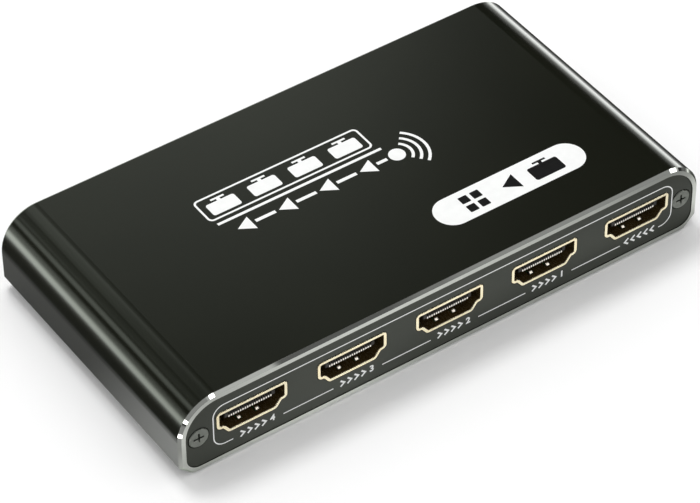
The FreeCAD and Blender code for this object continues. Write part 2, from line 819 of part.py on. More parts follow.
def lead_row(x, y, half_width, count, width, gap, height):
    """Row of bent leads along X, on the -Y side of a chip whose side is half_width from its centre."""
    side_y = y - half_width
    half = LEAD_THICKNESS / 2
    knee = side_y - LEAD_REACH / 2
    path = [
        (side_y, board_top + CHIP_STANDOFF + height / 2),
        (knee, board_top + CHIP_STANDOFF + height / 2),
        (knee, board_top + half),
        (side_y - LEAD_REACH, board_top + half),
    ]
    pitch = width + gap
    xs = [x + (i - (count - 1) / 2) * pitch for i in range(count)]
    return [strip(path, LEAD_THICKNESS, lead_x, width) for lead_x in xs]


def rows_on_sides(row, x, y, angles):
    """The same row of leads on several sides of a chip."""
    centre = Vector(x, y, 0)
    return Part.makeCompound([turned(lead, angle, centre) for angle in angles for lead in row])


def splitter_chip():
    """The splitter chip and its leads on four sides."""
    body = chip_body(0, CHIP_Y, CHIP_SIZE, CHIP_SIZE, CHIP_HEIGHT)
    row = lead_row(
        0, CHIP_Y, CHIP_SIZE / 2, CHIP_LEADS_PER_SIDE, CHIP_LEAD_WIDTH, CHIP_LEAD_GAP, CHIP_HEIGHT
    )
    return body, rows_on_sides(row, 0, CHIP_Y, (0, 90, 180, 270))


def thermal_pad():
    """Soft pad between the chip and the heat sink."""
    return box(about(0, PAD_SIZE), about(CHIP_Y, PAD_SIZE), (chip_top, sink_bottom))


def heat_sink():
    """Base with upright fins along Y."""
    base_top = sink_bottom + SINK_BASE
    base = box(about(0, SINK_SIZE), about(CHIP_Y, SINK_SIZE), (sink_bottom, base_top))
    spread = SINK_SIZE - SINK_FIN_THICKNESS
    fins = []
    for i in range(SINK_FIN_COUNT):
        x = -spread / 2 + i * spread / (SINK_FIN_COUNT - 1)
        across = about(x, SINK_FIN_THICKNESS)
        fins.append(box(across, about(CHIP_Y, SINK_SIZE), (base_top - MERGE, sink_top)))
    return fused(base, fins)


# Places of the smaller parts, each beside the piece that it serves
sink_side = SINK_SIZE / 2
left_x = -(sink_side + BOARD_PART_GAP + CRYSTAL_LENGTH / 2)
memory_y = CHIP_Y + CRYSTAL_WIDTH / 2 + BOARD_PART_GAP + LEAD_REACH + MEMORY_DEPTH / 2
control_y = CHIP_Y - CRYSTAL_WIDTH / 2 - BOARD_PART_GAP - LEAD_REACH - CONTROL_DEPTH / 2
supply_x = sink_side + BOARD_PART_GAP + REGULATOR_WIDTH / 2
inductor_x = supply_x + REGULATOR_WIDTH / 2 + BOARD_PART_GAP + INDUCTOR_SIZE / 2
capacitor_y = CHIP_Y + INDUCTOR_SIZE / 2 + BOARD_PART_GAP + CAPACITOR_RADIUS
first_capacitor_x = inductor_x - INDUCTOR_SIZE / 2 + CAPACITOR_RADIUS
inlet_y = jack_rear - JACK_SPRING_THICKNESS - BOARD_PART_GAP
array_y = foot_end + BOARD_PART_GAP + ARRAY_DEPTH / 2
small_y = array_y + ARRAY_DEPTH / 2 + BOARD_PART_GAP + SMALL_WIDTH / 2


def control_chip():
    """Small control chip with leads on two sides."""
    body = chip_body(left_x, control_y, CONTROL_WIDTH, CONTROL_DEPTH, CONTROL_HEIGHT)
    row = lead_row(
        left_x,
        control_y,
        CONTROL_DEPTH / 2,
        CONTROL_LEADS_PER_SIDE,
        CONTROL_LEAD_WIDTH,
        CONTROL_LEAD_GAP,
        CONTROL_HEIGHT,
    )
    return body, rows_on_sides(row, left_x, control_y, (0, 180))


def memory_chip():
    """Settings memory with leads on two sides."""
    body = chip_body(left_x, memory_y, MEMORY_WIDTH, MEMORY_DEPTH, MEMORY_HEIGHT)
    row = lead_row(
        left_x,
        memory_y,
        MEMORY_DEPTH / 2,
        MEMORY_LEADS_PER_SIDE,
        MEMORY_LEAD_WIDTH,
        MEMORY_LEAD_GAP,
        MEMORY_HEIGHT,
    )
    return body, rows_on_sides(row, left_x, memory_y, (0, 180))


def on_board(x, y, width, depth, height):
    """Plain block that lies on the board."""
    return box(about(x, width), about(y, depth), (board_top, board_top + height))


def crystal():
    """Metal can with rounded ends on a wider rim."""
    rim = on_board(left_x, CHIP_Y, CRYSTAL_LENGTH, CRYSTAL_WIDTH, CRYSTAL_BASE)
    can_width = CRYSTAL_WIDTH - 2 * CRYSTAL_RIM
    can_length = CRYSTAL_LENGTH - 2 * CRYSTAL_RIM
    middle = on_board(left_x, CHIP_Y, can_length - can_width, can_width, CRYSTAL_HEIGHT)
    straight = (can_length - can_width) / 2
    ends = []
    for x in (left_x - straight, left_x + straight):
        ends.append(Part.makeCylinder(can_width / 2, CRYSTAL_HEIGHT, Vector(x, CHIP_Y, board_top)))
    return fused(rim, [middle] + ends)


def voltage_regulators():
    """Two regulators side by side along Y."""
    step = REGULATOR_DEPTH + REGULATOR_GAP
    regulators = []
    for y in about(CHIP_Y, step):
        sizes = (REGULATOR_WIDTH, REGULATOR_DEPTH, REGULATOR_HEIGHT)
        regulators.append(on_board(supply_x, y, *sizes))
    return Part.makeCompound(regulators)


def power_inductor():
    """Square ferrite with cut corners and the top of its core showing."""
    body = on_board(inductor_x, CHIP_Y, INDUCTOR_SIZE, INDUCTOR_SIZE, INDUCTOR_HEIGHT)
    upright = [edge for edge in body.Edges if edge.BoundBox.ZLength > INDUCTOR_HEIGHT / 2]
    body = body.makeChamfer(INDUCTOR_CORNER, upright)
    top = Vector(inductor_x, CHIP_Y, board_top + INDUCTOR_HEIGHT - INDUCTOR_CORE_STEP)
    return body.cut(Part.makeCylinder(INDUCTOR_CORE_RADIUS, PAST, top))


def electrolytic_capacitor(x):
    """Aluminium can on a square base."""
    width = 2 * CAPACITOR_RADIUS
    base = on_board(x, capacitor_y, width, width, CAPACITOR_BASE)
    can = Part.makeCylinder(
        CAPACITOR_RADIUS,
        CAPACITOR_HEIGHT - CAPACITOR_BASE,
        Vector(x, capacitor_y, board_top + CAPACITOR_BASE),
    )
    return base, can


def electrolytic_capacitors():
    """Bases and cans of the two capacitors, as two groups."""
    step = 2 * CAPACITOR_RADIUS + CAPACITOR_GAP
    pairs = [electrolytic_capacitor(first_capacitor_x + i * step) for i in range(2)]
    return Part.makeCompound([p[0] for p in pairs]), Part.makeCompound([p[1] for p in pairs])


def inlet_parts():
    """Resettable fuse and protection diode behind the power inlet."""
    fuse = on_board(jack_x, inlet_y - FUSE_DEPTH / 2, FUSE_WIDTH, FUSE_DEPTH, FUSE_HEIGHT)
    diode_y = inlet_y - FUSE_DEPTH - BOARD_PART_GAP - DIODE_DEPTH / 2
    diode = on_board(jack_x, diode_y, DIODE_WIDTH, DIODE_DEPTH, DIODE_HEIGHT)
    return fuse, diode


def input_equaliser():
    """Leadless chip behind the input socket."""
    y = small_y + SMALL_WIDTH / 2 + BOARD_PART_GAP + EQUALISER_SIZE / 2
    return on_board(port_xs[-1], y, EQUALISER_SIZE, EQUALISER_SIZE, EQUALISER_HEIGHT)


def protection_arrays():
    """Two surge protection arrays behind each socket."""
    arrays = []
    for port_x in port_xs:
        for x in about(port_x, ARRAY_SPACING):
            arrays.append(on_board(x, array_y, ARRAY_WIDTH, ARRAY_DEPTH, ARRAY_HEIGHT))
    return Part.makeCompound(arrays)


def small_parts(places):
    """Chip capacitors or resistors behind each socket, at steps from its middle."""
    parts = []
    for port_x in port_xs:
        for place in places:
            x = port_x + place * SMALL_SPACING
            parts.append(on_board(x, small_y, SMALL_LENGTH, SMALL_WIDTH, SMALL_HEIGHT))
    return Part.makeCompound(parts)


def save_sockets():
    """Shell, insulator and contacts of every receptacle."""
    shell = hdmi_shell()
    contacts = hdmi_contacts()
    insulator = hdmi_insulator(contacts)
    for name, x in zip(port_names, port_xs):
        save("hdmi_shell_" + name, shifted(shell, x))
        save("hdmi_insulator_" + name, shifted(insulator, x))
        save("hdmi_contacts_" + name, shifted(contacts, x))


def save_lights():
    """Every light, and the holders and leads as two groups."""
    holders, leads = [], []
    for name, x in zip(light_names, light_xs):
        save("light_" + name, indicator_light(x))
        holders.append(light_holder(x))
        leads += light_leads(x)
    save("light_holders", Part.makeCompound(holders))
    save("light_leads", Part.makeCompound(leads))


def save_case():
    """Case, panels, screws and board."""
    save("extruded_case", extruded_case())
    save("port_panel", port_panel())
    save("far_panel", far_panel())
    save("port_panel_screws", panel_screws())
    save("far_panel_screws", turned(panel_screws(), 180, Vector(0, 0, 0)))
    save("main_board", main_board())


def save_board_parts():
    """Everything on the board apart from sockets and lights."""
    for node, build in (
        ("dc_jack", dc_jack),
        ("splitter_chip", splitter_chip),
        ("control_chip", control_chip),
        ("memory_chip", memory_chip),
    ):
        shapes = build()
        endings = ("_housing", "_centre_pin", "_spring") if len(shapes) == 3 else ("", "_leads")
        for ending, shape in zip(endings, shapes):
            save(node + ending, shape)
    bases, cans = electrolytic_capacitors()
    fuse, diode = inlet_parts()
    save("capacitor_bases", bases)
    save("capacitor_cans", cans)
    save("resettable_fuse", fuse)
    save("protection_diode", diode)
    save("thermal_pad", thermal_pad())
    save("heat_sink", heat_sink())
    save("input_equaliser_chip", input_equaliser())
    save("crystal", crystal())
    save("voltage_regulators", voltage_regulators())
    save("power_inductor", power_inductor())
    save("protection_arrays", protection_arrays())
    save("chip_capacitors", small_parts((-2, 0, 2)))
    save("chip_resistors", small_parts((-1, 1)))


os.makedirs("parts", exist_ok=True)
save_case()
save_sockets()
save_lights()
save_board_parts()
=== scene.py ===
import json
import math

import bmesh
import bpy
from mathutils import Euler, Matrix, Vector

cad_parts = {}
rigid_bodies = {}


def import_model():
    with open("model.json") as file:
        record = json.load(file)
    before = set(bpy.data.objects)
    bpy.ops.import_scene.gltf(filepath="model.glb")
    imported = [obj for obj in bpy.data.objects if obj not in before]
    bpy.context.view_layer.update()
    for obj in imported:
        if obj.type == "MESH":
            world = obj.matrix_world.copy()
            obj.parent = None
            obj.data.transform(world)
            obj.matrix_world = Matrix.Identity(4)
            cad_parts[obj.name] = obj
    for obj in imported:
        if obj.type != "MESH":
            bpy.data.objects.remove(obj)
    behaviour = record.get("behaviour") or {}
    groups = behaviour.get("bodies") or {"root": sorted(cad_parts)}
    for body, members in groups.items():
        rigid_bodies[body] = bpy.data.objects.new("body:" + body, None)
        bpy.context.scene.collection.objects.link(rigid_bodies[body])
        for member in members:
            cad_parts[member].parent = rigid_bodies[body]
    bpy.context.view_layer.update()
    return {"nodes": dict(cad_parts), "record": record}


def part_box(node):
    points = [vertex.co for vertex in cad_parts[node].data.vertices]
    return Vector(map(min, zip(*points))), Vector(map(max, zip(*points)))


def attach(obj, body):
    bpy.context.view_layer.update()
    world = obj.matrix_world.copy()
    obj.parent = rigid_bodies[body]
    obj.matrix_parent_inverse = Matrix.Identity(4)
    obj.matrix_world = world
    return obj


# HDMI splitter with one input and four outputs: its finish, its printing and a plain studio round it.
# Lengths are in millimetres up to the point where they are handed to Blender, which takes metres.
MM = 0.001

# The splitter has this many outputs
OUTPUT_COUNT = 4

# Camera, turned by these degrees about X, Y and Z
CAMERA_PLACE = (-276.23, -400.58, 455.61)
CAMERA_TURN = (46.931, 0.332, -34.842)
CAMERA_LENS = 179.24
CAMERA_NEAREST = 10
CAMERA_FARTHEST = 20000
SENSOR_WIDTH = 36.0

# The case's gloss leans to olive, and its cut ends are bare from this far out along Y
OLIVE = (0.9, 1.0, 0.85, 1.0)
PANEL_OLIVE = (0.83, 0.92, 0.77, 1.0)
BARE_FROM = 30.4
BARE_BLUR = 0.02
CASE_ROUGHNESS = (0.12, 0.16)
BARE_ROUGHNESS = (0.012, 0.02)

# Receptacle shells: gold on the lip, with a painted highlight on the fingers and painted shade on the
# inside
SHELL_WALL = 0.6
MOUTH_HEIGHT = 4.55
LIP_DEPTH = 0.12
LIP_BLUR = 0.05
FINGER_SPACING = 3.9
FINGER_GLINT_WIDTH = 0.5
FINGER_GLINT_FROM = 1.3
FINGER_GLINT_TO = 1.75
FINGER_BLUR = 0.1

# The part of a noise's range that becomes a full change, and a wider part for the case's gloss
NOISE_SPAN = (0.3, 0.7)
CASE_NOISE_SPAN = (0.25, 0.75)

# Copper lines under the board's solder mask, and the share of the mask's own grain in the relief
TRACK_SCALE = 0.35
TRACK_WIDTH = 0.06
TRACK_BLUR = 0.1
MASK_GRAIN_SHARE = 0.2

# Printing: how far the ink stands up from its face and reaches down into it. The marks on the label
# stand higher.
INK_RISE = 0.02
INK_ROOT = 0.03
LABEL_RISE = 0.035

# An arc of the printing is cut into pieces that turn by this much at most
ARC_STEP = math.radians(9)

# Line round the sockets on the port panel
PANEL_LINE_WIDTH = 0.22
PANEL_LINE_LEFT = -51.65
PANEL_LINE_RIGHT = 52.6
PANEL_LINE_BOTTOM = 4.0
PANEL_LINE_TOP = 13.8
PANEL_LINE_RADIUS = 2.4

# Marks on the two panels. On the port panel a mark's middle is shifted from its socket's, and the line
# is open round it. Places of chevrons and figures are in steps from a mark's middle.
MARK_SHIFT = 1.2
MARK_GAP = 10.9
INPUT_MARK_SHIFT = 1.0
INPUT_MARK_GAP = 9.3
MARK_HEIGHT = 1.45
MARK_Z = 4.3
MARK_STROKE = 0.38
CHEVRON_STEP = 1.55
CHEVRON_REACH = 0.3 * MARK_HEIGHT
OUTPUT_CHEVRONS = (-2.2, -1.2, -0.2, 0.8)
INPUT_CHEVRONS = (-2, -1, 0, 1, 2)
LIGHT_CHEVRONS = (-1, 0, 1)
FIGURE_PLACE = 2
FIGURE_SIZE = 2.05
FIGURE_BOLDER = 0.07
POWER_MARK_RADIUS = 0.75
POWER_MARK_GAP = 35

# Printing on the top. U runs to the right and V up for a reader who stands at the far side.
FRAME_LEFT = -9.8
FRAME_RIGHT = 27.0
FRAME_BOTTOM = -13.3
FRAME_TOP = -7.2
FRAME_LINE = 0.42
FRAME_RADIUS = 0.9
BAR_V = -5.75
BAR_THICKNESS = 0.62
BAR_LEFT = -10.7
BAR_RIGHT = 26.4
ROW_BOTTOM = -4.5
ROW_TOP = -0.7
ROW_LINE = 0.75
ARROW_REACH = 0.42
SCREEN_WIDTH = 6.3
SCREEN_HEIGHT = 3.3
SCREEN_RADIUS = 0.5
FOOT_WIDTH = 3.0
FOOT_HEIGHT = 0.45
STEM_WIDTH = 0.8
STEM_HEIGHT = 0.5
SCREEN_LIFT = (STEM_HEIGHT + FOOT_HEIGHT) / 2
SOURCE_U = -12.2
SOURCE_V = -2.6
SOURCE_RADIUS = 1.7
WAVE_FIRST = 3.1
WAVE_STEP = 1.6
WAVE_COUNT = 3
WAVE_WIDTH = 0.6
WAVE_SPREAD = 50

# White label on the top with black marks
LABEL_U = -24.7
LABEL_V = 16.4
LABEL_LENGTH = 34.2
LABEL_DEPTH = 7.7
LABEL_MARK = 4.6
LABEL_STEP = 1.8 * LABEL_MARK
LABEL_SCREEN_WIDTH = 1.5 * LABEL_MARK
LABEL_ARROW_HEIGHT = 0.9 * LABEL_MARK
LABEL_SQUARE = 0.42 * LABEL_MARK
LABEL_SQUARE_RADIUS = 0.2

# Strength of the even dome, and of the room between its lights
DOME = 0.8
ROOM_GLOW = 0.04

# Lights that gloss sees: lowest and highest azimuth, lowest and highest height, softness and strength,
# with all but the strength in degrees. Azimuth 0 is +Y, behind the case, and 90 is +X.
ROOM_LIGHTS = (
    # behind the case, low
    ((-80, 80), (-90, 8), 5, 5.1),
    ((-49, -20), (-90, 8), 4, 3.8),
    ((-80, 80), (8, 18), 5, 0.9),
    ((-48, -20), (8, 18), 3, 1.0),
    # behind the case, higher up
    ((-46, -37), (28, 37), 2, 1.7),
    ((-20, 35.5), (30, 42.3), 4.5, 1.0),
    ((33, 36.5), (38, 46), 2.5, 0.1),
    ((19, 31), (43.5, 47), 3, 0.13),
    ((-17, 18), (45, 51), 3.5, 0.75),
    ((-7, 20), (45, 50), 3.5, 0.55),
    ((-40, -20), (40, 49), 3, 0.32),
    ((-34, -26), (34, 40), 2.5, 1.0),
    # in front of the case, to the right
    ((146.84, 157), (38, 55), 0.1, 0.66),
    ((143.2, 146.84), (38, 55), 0.3, 0.12),
    ((100, 143.2), (35, 50), 1.2, 0.36),
    ((120, 138), (51.5, 62), 1, 2.4),
    ((158, 171), (44, 53), 0.7, 7.0),
    ((113.2, 126.3), (23, 36), 0.5, 7.0),
    ((109, 114.5), (18, 24), 0.8, 0.7),
    ((97, 105), (0, 10), 1.5, 0.14),
    # in front of the case, in the middle and to the left
    ((172, 190), (40, 52), 1, 0.5),
    ((-190, -127.3), (10, 50), 1.5, 0.34),
    ((-128.5, -124), (3, 10), 0.7, 7.0),
)

# Floor: it lies a hair below the case
FLOOR_HALF_SIDE = 3000
FLOOR_DROP = 0.02
FLOOR_ALBEDO = 0.95
FLOOR_GLOW = 0.03
FLOOR_ROUGHNESS = 0.6
FLOOR_GLOSS_LEVEL = 0.1

# Light on the case's underside, from the hidden patch of floor that it covers
UNDERSIDE_GLOW = 0.8
UNDERSIDE_ACROSS = 55
UNDERSIDE_ALONG = 28
UNDERSIDE_BLUR = 0.5

# Brightness of the floor for gloss, up to GLOSS_MOST. A pair is where a smooth change starts and ends, in
# millimetres from the case's middle, across (X) or along (Y). A share multiplies a brightness.
GLOSS_MOST = 2.0
GLOSS_ELSEWHERE = 0.06
FRONT_LINE_ALONG = (-33, -28)

# Beside the case
SIDE_GLOSS = 1.6
SIDE_GLOSS_REAR = 0.3
SIDE_RIGHT_SHARE = 0.4
SIDE_LIMIT_ACROSS = (64, 70)
SIDE_FADE_ALONG = (-28, 8)
SIDE_FADE_ACROSS = (-60, 60)

# Further in front of the case
FRONT_GLOSS = 0.97
FRONT_GLOSS_RIGHT = 0.5
FRONT_LEFT_SHARE = 0.3
FRONT_RISE_ACROSS = (-75, -10)
FRONT_FALL_ACROSS = (-5, 62)
FRONT_LIMIT_ALONG = (-220, -120)
FRONT_LIMIT_SHARE = 0.35
FRONT_END_ACROSS = (42, 66)
FRONT_END_SHARE = 0.62

# Close in front of the case, with a hump left of the middle and a faint band towards the right
CLOSE_GLOSS = 1.0
CLOSE_LIMIT_ALONG = (-46, -38)
CLOSE_END_ACROSS = (-66, -57)
CLOSE_END_SHARE = 0.35
HUMP_GLOSS = 1.0
HUMP_RISE_ACROSS = (-62, -30)
HUMP_FALL_ACROSS = (-26, 6)
HUMP_LIMIT_ALONG = (-41, -33)
BAND_GLOSS = 0.5
BAND_RISE_ACROSS = (-50, 30)
BAND_ALONG = (-42, -35)
BAND_BLUR = 1.5

# Glow of the floor far behind the case and beside it, by the distance from the case, and one bright spot
FAR_GLOW = 4.3
FAR_RISE = (22, 210)
FAR_SLANT = 0.4
FAR_SLANT_RISE = (0, 120)
FAR_SLANT_SHARES = (0.78, 1.22)
BEHIND_RISE_ALONG = (-50, -10)
GLINT_GLOW = 7.0
GLINT_PLACE = (-79.0, -40.7, 0.0)
GLINT_REACH = (4.6, 5.6)

# Lamp: how far it is from the middle of the case's underside, and its height as an angle
LAMP_SIZE = 320
LAMP_POWER = 3.6
LAMP_REACH = 1000
LAMP_HEIGHT = math.radians(68)


def clear_scene():
    """Removes whatever the empty start file holds."""
    for thing in list(bpy.data.objects):
        bpy.data.objects.remove(thing)


def middle_of(node):
    """Middle of a CAD node in millimetres."""
    low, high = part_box(node)
    return (low + high) / 2 / MM


# Node helpers

def link(tree, output, socket):
    tree.links.new(output, socket)


def feed(tree, value, socket):
    """Sets a socket to a number or colour, or links it to another node's output."""
    if isinstance(value, bpy.types.NodeSocket):
        link(tree, value, socket)
    else:
        socket.default_value = value


def maths(tree, operation, *values):
    """Output of one arithmetic node."""
    node = tree.nodes.new("ShaderNodeMath")
    node.operation = operation
    for value, socket in zip(values, node.inputs):
        feed(tree, value, socket)
    return node.outputs[0]


def joined(tree, operation, values):
    """One arithmetic operation over all of the values."""
    result = values[0]
    for value in values[1:]:
        result = maths(tree, operation, result, value)
    return result


def product(tree, *values):
    return joined(tree, "MULTIPLY", values)


def total(tree, *values):
    return joined(tree, "ADD", values)


def ramp(tree, value, start, end, low=0.0, high=1.0):
    """Smooth step from low at start to high at end."""
    node = tree.nodes.new("ShaderNodeMapRange")
    node.interpolation_type = "SMOOTHSTEP"
    feed(tree, value, node.inputs["Value"])
    node.inputs["From Min"].default_value = start
    node.inputs["From Max"].default_value = end
    node.inputs["To Min"].default_value = low
    node.inputs["To Max"].default_value = high
    return node.outputs["Result"]


def window(tree, value, low, high, soft):
    """1 between two values and 0 outside them, with soft ends."""
    rise = ramp(tree, value, low - soft, low + soft)
    fall = ramp(tree, value, high - soft, high + soft, 1.0, 0.0)
    return product(tree, rise, fall)


def mix(tree, share, first, second):
    """Colour between two colours."""
    node = tree.nodes.new("ShaderNodeMix")
    node.data_type = "RGBA"
    feed(tree, share, node.inputs["Factor"])
    feed(tree, first, node.inputs["A"])
    feed(tree, second, node.inputs["B"])
    return node.outputs["Result"]


def place_in_mm(tree, stretch=(1, 1, 1)):
    """The surface point in millimetres of the object's own frame, stretched along its axes."""
    place = tree.nodes.new("ShaderNodeTexCoord").outputs["Object"]
    node = tree.nodes.new("ShaderNodeMapping")
    node.inputs["Scale"].default_value = [share / MM for share in stretch]
    link(tree, place, node.inputs["Vector"])
    return node.outputs["Vector"]


def axes_of(tree, vector):
    """The three numbers of a vector, by axis."""
    parts = tree.nodes.new("ShaderNodeSeparateXYZ")
    link(tree, vector, parts.inputs[0])
    return parts.outputs["X"], parts.outputs["Y"], parts.outputs["Z"]


def noise(tree, size, detail=2.0, stretch=(1, 1, 1)):
    """Noise with patches of about this size in millimetres."""
    node = tree.nodes.new("ShaderNodeTexNoise")
    node.inputs["Scale"].default_value = 1 / size
    node.inputs["Detail"].default_value = detail
    link(tree, place_in_mm(tree, stretch), node.inputs["Vector"])
    return node.outputs["Fac"]


def patches(tree, size, detail=3.0):
    """Soft patches of about this size in millimetres, from 0 in some to 1 in others."""
    return ramp(tree, noise(tree, size, detail), *NOISE_SPAN)


def bump(tree, shader, height, depth, strength=1.0):
    """Relief of the given depth in millimetres."""
    node = tree.nodes.new("ShaderNodeBump")
    node.inputs["Strength"].default_value = strength
    node.inputs["Distance"].default_value = depth * MM
    link(tree, height, node.inputs["Height"])
    link(tree, node.outputs["Normal"], shader.inputs["Normal"])


def new_material(name, metallic=0.0, ior=1.5, gloss_tint=None):
    """Material with one shader. Returns the material, its tree and the shader."""
    material = bpy.data.materials.new(name)
    material.use_nodes = True
    tree = material.node_tree
    shader = tree.nodes["Principled BSDF"]
    shader.inputs["Metallic"].default_value = metallic
    shader.inputs["IOR"].default_value = ior
    if gloss_tint:
        shader.inputs["Specular Tint"].default_value = gloss_tint
    return material, tree, shader


def colour(red, green, blue):
    """Colour from its linear parts."""
    return (red, green, blue, 1.0)


def grained(
    name, dark, light, patch, roughness, grain, depth, metallic=0.0, stretch=(1, 1, 1), gloss_tint=None
):
    """Finish that wavers between two colours in patches, with a fine grain in its relief and gloss.
    Patch, grain and depth are sizes in millimetres."""
    material, tree, shader = new_material(name, metallic, gloss_tint=gloss_tint)
    link(tree, mix(tree, patches(tree, patch), dark, light), shader.inputs["Base Color"])
    fine = noise(tree, grain, stretch=stretch)
    link(tree, ramp(tree, fine, *NOISE_SPAN, *roughness), shader.inputs["Roughness"])
    bump(tree, shader, fine, depth)
    return material


# Finishes

def case_finish():
    """Black anodised aluminium, bare and bright on the bevelled cut ends."""
    material, tree, shader = new_material("anodised_case", gloss_tint=OLIVE)
    from_middle = maths(tree, "ABSOLUTE", axes_of(tree, place_in_mm(tree))[1])
    bare = ramp(tree, from_middle, BARE_FROM - BARE_BLUR, BARE_FROM + BARE_BLUR)
    drift = patches(tree, size=30.0, detail=2.0)
    black = mix(tree, drift, colour(0.0047, 0.0053, 0.0028), colour(0.0063, 0.0069, 0.0037))
    grain = noise(tree, size=0.5, stretch=(0.15, 1, 1))
    metal = mix(tree, grain, colour(0.54, 0.555, 0.52), colour(0.6, 0.615, 0.58))
    link(tree, mix(tree, bare, black, metal), shader.inputs["Base Color"])
    link(tree, bare, shader.inputs["Metallic"])
    satin = ramp(tree, noise(tree, size=0.16, detail=3.0), *CASE_NOISE_SPAN, *CASE_ROUGHNESS)
    polish = ramp(tree, grain, *CASE_NOISE_SPAN, *BARE_ROUGHNESS)
    gap = maths(tree, "SUBTRACT", polish, satin)
    link(tree, maths(tree, "MULTIPLY_ADD", bare, gap, satin), shader.inputs["Roughness"])
    anodised = maths(tree, "SUBTRACT", 1.0, bare)
    relief = product(tree, noise(tree, size=0.12, stretch=(1, 0.25, 1)), anodised)
    bump(tree, shader, relief, depth=0.0003)
    return material


def panel_finish():
    return grained(
        "panel_anodised", colour(0.012, 0.0133, 0.0094), colour(0.0163, 0.0177, 0.0127),
        patch=9.0, roughness=(0.32, 0.42), grain=0.14, depth=0.0018, gloss_tint=PANEL_OLIVE,
    )


def screw_finish():
    return grained(
        "screw_blackened", colour(0.19, 0.203, 0.18), colour(0.24, 0.253, 0.226),
        patch=1.2, roughness=(0.36, 0.5), grain=0.08, depth=0.002, metallic=1.0,
    )


def shell_inside(tree, from_port, depth, height, low, high):
    """1 on a shell's inside, behind its lip, where shade is painted in, and 0 on its rim. Depth runs from
    the front of the shell, and the two corners are those of its box."""
    edge = SHELL_WALL / 2
    mouth_top = high.z - SHELL_WALL
    mouth_bottom = mouth_top - MOUTH_HEIGHT
    half_width = (high.x - low.x) / 2 - edge
    return product(
        tree,
        ramp(tree, from_port, half_width - LIP_BLUR, half_width + LIP_BLUR, 1.0, 0.0),
        window(tree, height, mouth_bottom - edge, mouth_top + edge, LIP_BLUR),
        ramp(tree, depth, LIP_DEPTH - LIP_BLUR, LIP_DEPTH + LIP_BLUR),
    )


def rubbed_fingers(tree, from_port, depth):
    """1 on the patch of a shell's fingers where a highlight is painted, and 0 elsewhere."""
    from_finger = maths(tree, "ABSOLUTE", maths(tree, "SUBTRACT", from_port, FINGER_SPACING / 2))
    half_width = FINGER_GLINT_WIDTH / 2
    return product(
        tree,
        ramp(tree, from_finger, half_width, half_width + FINGER_BLUR, 1.0, 0.0),
        window(tree, depth, FINGER_GLINT_FROM, FINGER_GLINT_TO, FINGER_BLUR),
    )


def gold_finish():
    """Gold plating, with a painted highlight on its fingers and painted shade on its inside."""
    material, tree, shader = new_material("shell_gold", metallic=1.0)
    across, along, height = axes_of(tree, place_in_mm(tree))
    first, second = middle_of("hdmi_shell_output_4").x, middle_of("hdmi_shell_output_3").x
    half_pitch = (second - first) / 2
    low, high = [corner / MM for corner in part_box("hdmi_shell_output_4")]
    from_port = maths(tree, "WRAP", across, first + half_pitch, first - half_pitch)
    from_port = maths(tree, "ABSOLUTE", maths(tree, "SUBTRACT", from_port, first))
    depth = maths(tree, "SUBTRACT", along, low.y)
    inside = shell_inside(tree, from_port, depth, height, low, high)
    finger = rubbed_fingers(tree, from_port, depth)
    drift = patches(tree, size=2.5)
    gold = mix(tree, drift, colour(1.0, 0.88, 0.6), colour(1.0, 0.92, 0.67))
    # painted shade: the inside of each mouth gets a dark brown in place of gold
    dark = mix(tree, drift, colour(0.036, 0.023, 0.008), colour(0.046, 0.03, 0.011))
    gold_with_painted_shade = mix(tree, inside, gold, dark)
    # painted highlight: a pale patch on the crest of each finger
    link(tree, mix(tree, finger, gold_with_painted_shade, colour(1.0, 0.94, 0.82)), shader.inputs["Base Color"])
    # the painted shade inside is not metallic either, so it stays dark
    bright = maths(tree, "SUBTRACT", 1.0, inside)
    link(tree, maths(tree, "MAXIMUM", bright, finger), shader.inputs["Metallic"])
    fine = noise(tree, size=0.1, stretch=(1, 0.2, 1))
    link(tree, ramp(tree, fine, *NOISE_SPAN, low=0.22, high=0.3), shader.inputs["Roughness"])
    bump(tree, shader, fine, depth=0.0003)
    return material


def contact_finish():
    return grained(
        "contact_gold", colour(0.93, 0.88, 0.8), colour(0.97, 0.93, 0.86),
        patch=0.8, roughness=(0.22, 0.32), grain=0.06, depth=0.0005, metallic=1.0,
    )


def moulding_finish():
    return grained(
        "black_moulding", colour(0.0095, 0.0065, 0.0035), colour(0.014, 0.01, 0.006),
        patch=3.0, roughness=(0.4, 0.52), grain=0.07, depth=0.003,
    )


def nickel_finish():
    return grained(
        "nickel", colour(0.62, 0.6, 0.56), colour(0.7, 0.68, 0.64),
        patch=1.5, roughness=(0.16, 0.26), grain=0.08, depth=0.0006, metallic=1.0,
    )


def tin_finish():
    return grained(
        "tinned_lead", colour(0.6, 0.6, 0.6), colour(0.72, 0.72, 0.72),
        patch=0.5, roughness=(0.28, 0.42), grain=0.05, depth=0.001, metallic=1.0,
    )


def resin_finish():
    return grained(
        "chip_resin", colour(0.014, 0.014, 0.015), colour(0.024, 0.024, 0.025),
        patch=1.6, roughness=(0.5, 0.64), grain=0.06, depth=0.004,
    )


def rubber_finish():
    return grained(
        "thermal_rubber", colour(0.2, 0.25, 0.32), colour(0.26, 0.31, 0.38),
        patch=2.0, roughness=(0.7, 0.85), grain=0.1, depth=0.006,
    )


def aluminium_finish():
    return grained(
        "plain_aluminium", colour(0.55, 0.56, 0.57), colour(0.66, 0.67, 0.68),
        patch=3.0, roughness=(0.3, 0.42), grain=0.1, depth=0.0015, metallic=1.0, stretch=(1, 0.06, 1),
    )


def ferrite_finish():
    return grained(
        "ferrite", colour(0.03, 0.03, 0.032), colour(0.05, 0.05, 0.054),
        patch=0.8, roughness=(0.6, 0.75), grain=0.08, depth=0.006,
    )


def ceramic_finish():
    return grained(
        "ceramic_chip", colour(0.16, 0.09, 0.05), colour(0.24, 0.14, 0.08),
        patch=0.6, roughness=(0.5, 0.65), grain=0.05, depth=0.003,
    )


